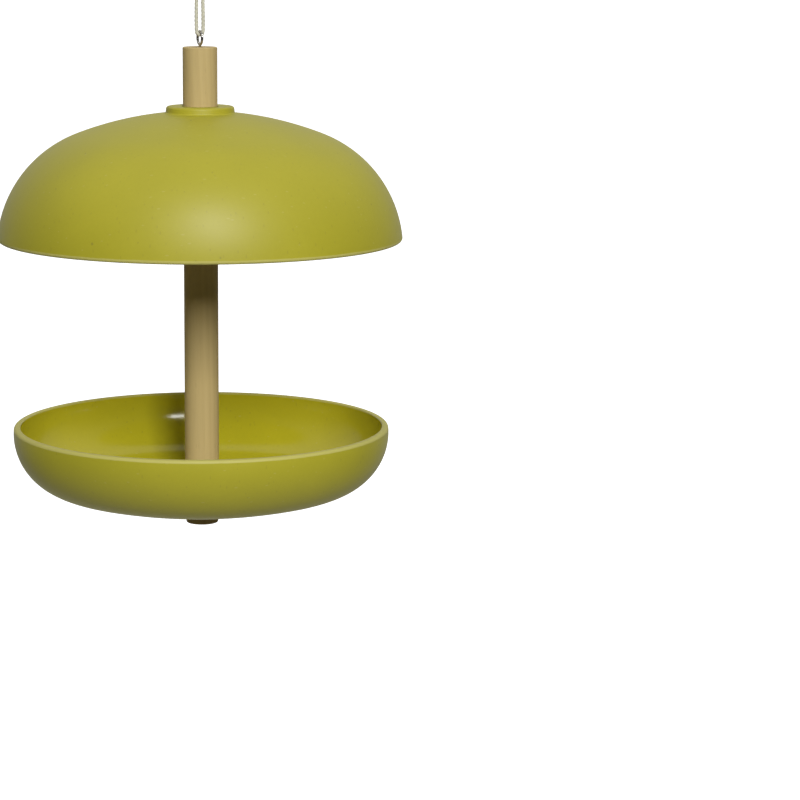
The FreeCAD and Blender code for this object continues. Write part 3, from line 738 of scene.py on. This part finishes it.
class FEEDER_OT_fastenings(bpy.types.Operator):
    """Give the pin, washers, nut and stud inside the feeder their finishes"""
    bl_idname = "feeder.fastenings"
    bl_label = "Fastenings"
    bl_options = {"REGISTER", "UNDO"}

    def execute(self, context):
        _, colours = choices(context)
        zinc = metal_finish("zinc_steel", colours.zinc, 0.26, 0.3)
        rubber = rubber_finish(colours)
        brass = metal_finish("brass_nut", colours.brass, 0.24, 0.3)
        for node, slot, finish in (
                ("roof_pin", "zinc_steel", zinc), ("foot_stud", "zinc_steel", zinc),
                ("insert_nut", "brass_nut", brass), ("roof_washer", "black_rubber", rubber),
                ("tray_washer", "black_rubber", rubber)):
            piece = frame["nodes"][node]
            piece.data.materials.clear()
            piece.data.materials.append(finish)
        return {"FINISHED"}


# ---------------------------------------------------------------- studio

def area_light(name, azimuth, elevation, distance, width, height, power):
    """A soft light that looks at the feeder's middle; azimuth 0 is in front and 90 on the right."""
    turn, tip = math.radians(azimuth), math.radians(elevation)
    middle = Vector((0, 0, (low("foot_button") + high("pole")) / 2))
    away = Vector((math.sin(turn) * math.cos(tip), -math.cos(turn) * math.cos(tip), math.sin(tip)))
    data = bpy.data.lights.new(name, "AREA")
    data.shape = "RECTANGLE"
    data.size, data.size_y, data.energy = width, height, power
    light = add_object(name, data)
    light.location = middle + away * distance
    light.rotation_euler = away.to_track_quat("Z", "Y").to_euler()
    return light


def make_floor():
    """A wide pale floor far below, which throws no light on the feeder."""
    mesh = bmesh.new()
    bmesh.ops.create_grid(mesh, x_segments=1, y_segments=1, size=30.0)
    bmesh.ops.translate(mesh, verts=mesh.verts, vec=(0, 0, low("foot_button") - FLOOR_DROP))
    data = bpy.data.meshes.new("floor")
    mesh.to_mesh(data)
    mesh.free()
    finish = Finish("pale_floor")
    finish.link("Base Color", finish.mix(finish.noise(3.0), (0.90, 0.90, 0.90), (0.93, 0.93, 0.93)))
    finish.set(Roughness=0.9, Emission_Color=(1, 1, 1, 1), Emission_Strength=FLOOR_GLOW)
    data.materials.append(finish.material)
    floor = add_object("floor", data)
    floor.visible_diffuse = floor.visible_glossy = False
    return floor


def add_sky():
    """Soft light from above, behind and below, and plain white where the world itself is seen."""
    world = bpy.data.worlds.new("studio")
    world.use_nodes = True
    sky = Nodes(world.node_tree)
    way = sky.add("ShaderNodeTexCoord").outputs["Generated"]
    upward = sky.add("ShaderNodeVectorMath", {0: way, 1: SKY_AXIS}, operation="DOT_PRODUCT").outputs["Value"]
    strength = sky.ramp(upward, -0.05, 0.95, 0.03, OVERHEAD_LIGHT)
    for other in (sky.ramp(sky.axis("Z", way), -0.15, -0.8, 0.0, LIGHT_FROM_BELOW),
                  sky.ramp(sky.axis("Y", way), 0.46, 0.86, 0.0, BACKDROP_LIGHT),
                  sky.add("ShaderNodeLightPath").outputs["Is Camera Ray"]):
        strength = sky.maths("MAXIMUM", strength, other)
    background = world.node_tree.nodes["Background"]
    background.inputs["Color"].default_value = (1, 1, 1, 1)
    world.node_tree.links.new(strength, background.inputs["Strength"])
    bpy.context.scene.world = world
    bpy.context.scene.view_settings.view_transform = "Standard"


def add_camera():
    """In front of the feeder and a little above it, turned down and to the right."""
    data = bpy.data.cameras.new("camera")
    data.lens = CAMERA_LENS
    data.sensor_width = 36.0
    data.clip_start, data.clip_end = 0.05, 60.0
    camera = add_object("camera", data)
    camera.location = (0, -CAMERA_DISTANCE, low("roof") + CAMERA_RISE)
    turns = ((-CAMERA_PAN, "Z"), (90 - CAMERA_TILT, "X"), (CAMERA_ROLL, "Z"))
    pan, tilt, roll = (Matrix.Rotation(math.radians(angle), 3, axis) for angle, axis in turns)
    camera.rotation_euler = (pan @ tilt @ roll).to_euler()
    bpy.context.scene.camera = camera


class FEEDER_OT_stage(bpy.types.Operator):
    """Make the floor, the lights and the camera"""
    bl_idname = "feeder.stage"
    bl_label = "Stage"
    bl_options = {"REGISTER", "UNDO"}

    def execute(self, context):
        floor = make_floor()
        key, *shines = [area_light(*settings) for settings in LIGHTS]
        key.visible_glossy = False
        for light in shines:
            light.visible_diffuse = False
        add_sky()
        add_camera()
        return {"FINISHED"}


class FEEDER_PT_panel(bpy.types.Panel):
    """Lists the feeder's pieces in the sidebar"""
    bl_idname = "FEEDER_PT_panel"
    bl_label = "Bird Feeder"
    bl_space_type = "VIEW_3D"
    bl_region_type = "UI"
    bl_category = "Feeder"

    def draw(self, context):
        for operator in PIECES:
            self.layout.operator(operator.bl_idname)
        for group in (context.scene.feeder_sizes, context.scene.feeder_colours):
            box = self.layout.box()
            for name in group.bl_rna.properties.keys():
                if name not in {"rna_type", "name"}:
                    box.prop(group, name)


PIECES = (FEEDER_OT_roof, FEEDER_OT_tray, FEEDER_OT_pole, FEEDER_OT_foot, FEEDER_OT_screw_eye,
          FEEDER_OT_cord, FEEDER_OT_fastenings, FEEDER_OT_stage)
CLASSES = (FeederSizes, FeederColours) + PIECES + (FEEDER_PT_panel,)


def register():
    for made in CLASSES:
        bpy.utils.register_class(made)
    bpy.types.Scene.feeder_sizes = PointerProperty(type=FeederSizes)
    bpy.types.Scene.feeder_colours = PointerProperty(type=FeederColours)


def unregister():
    del bpy.types.Scene.feeder_colours
    del bpy.types.Scene.feeder_sizes
    for made in reversed(CLASSES):
        bpy.utils.unregister_class(made)


def main():
    register()
    bpy.ops.feeder.roof()
    bpy.ops.feeder.tray()
    bpy.ops.feeder.pole()
    bpy.ops.feeder.foot()
    bpy.ops.feeder.screw_eye()
    bpy.ops.feeder.cord()
    bpy.ops.feeder.fastenings()
    bpy.ops.feeder.stage()


if __name__ == "__main__":
    main()
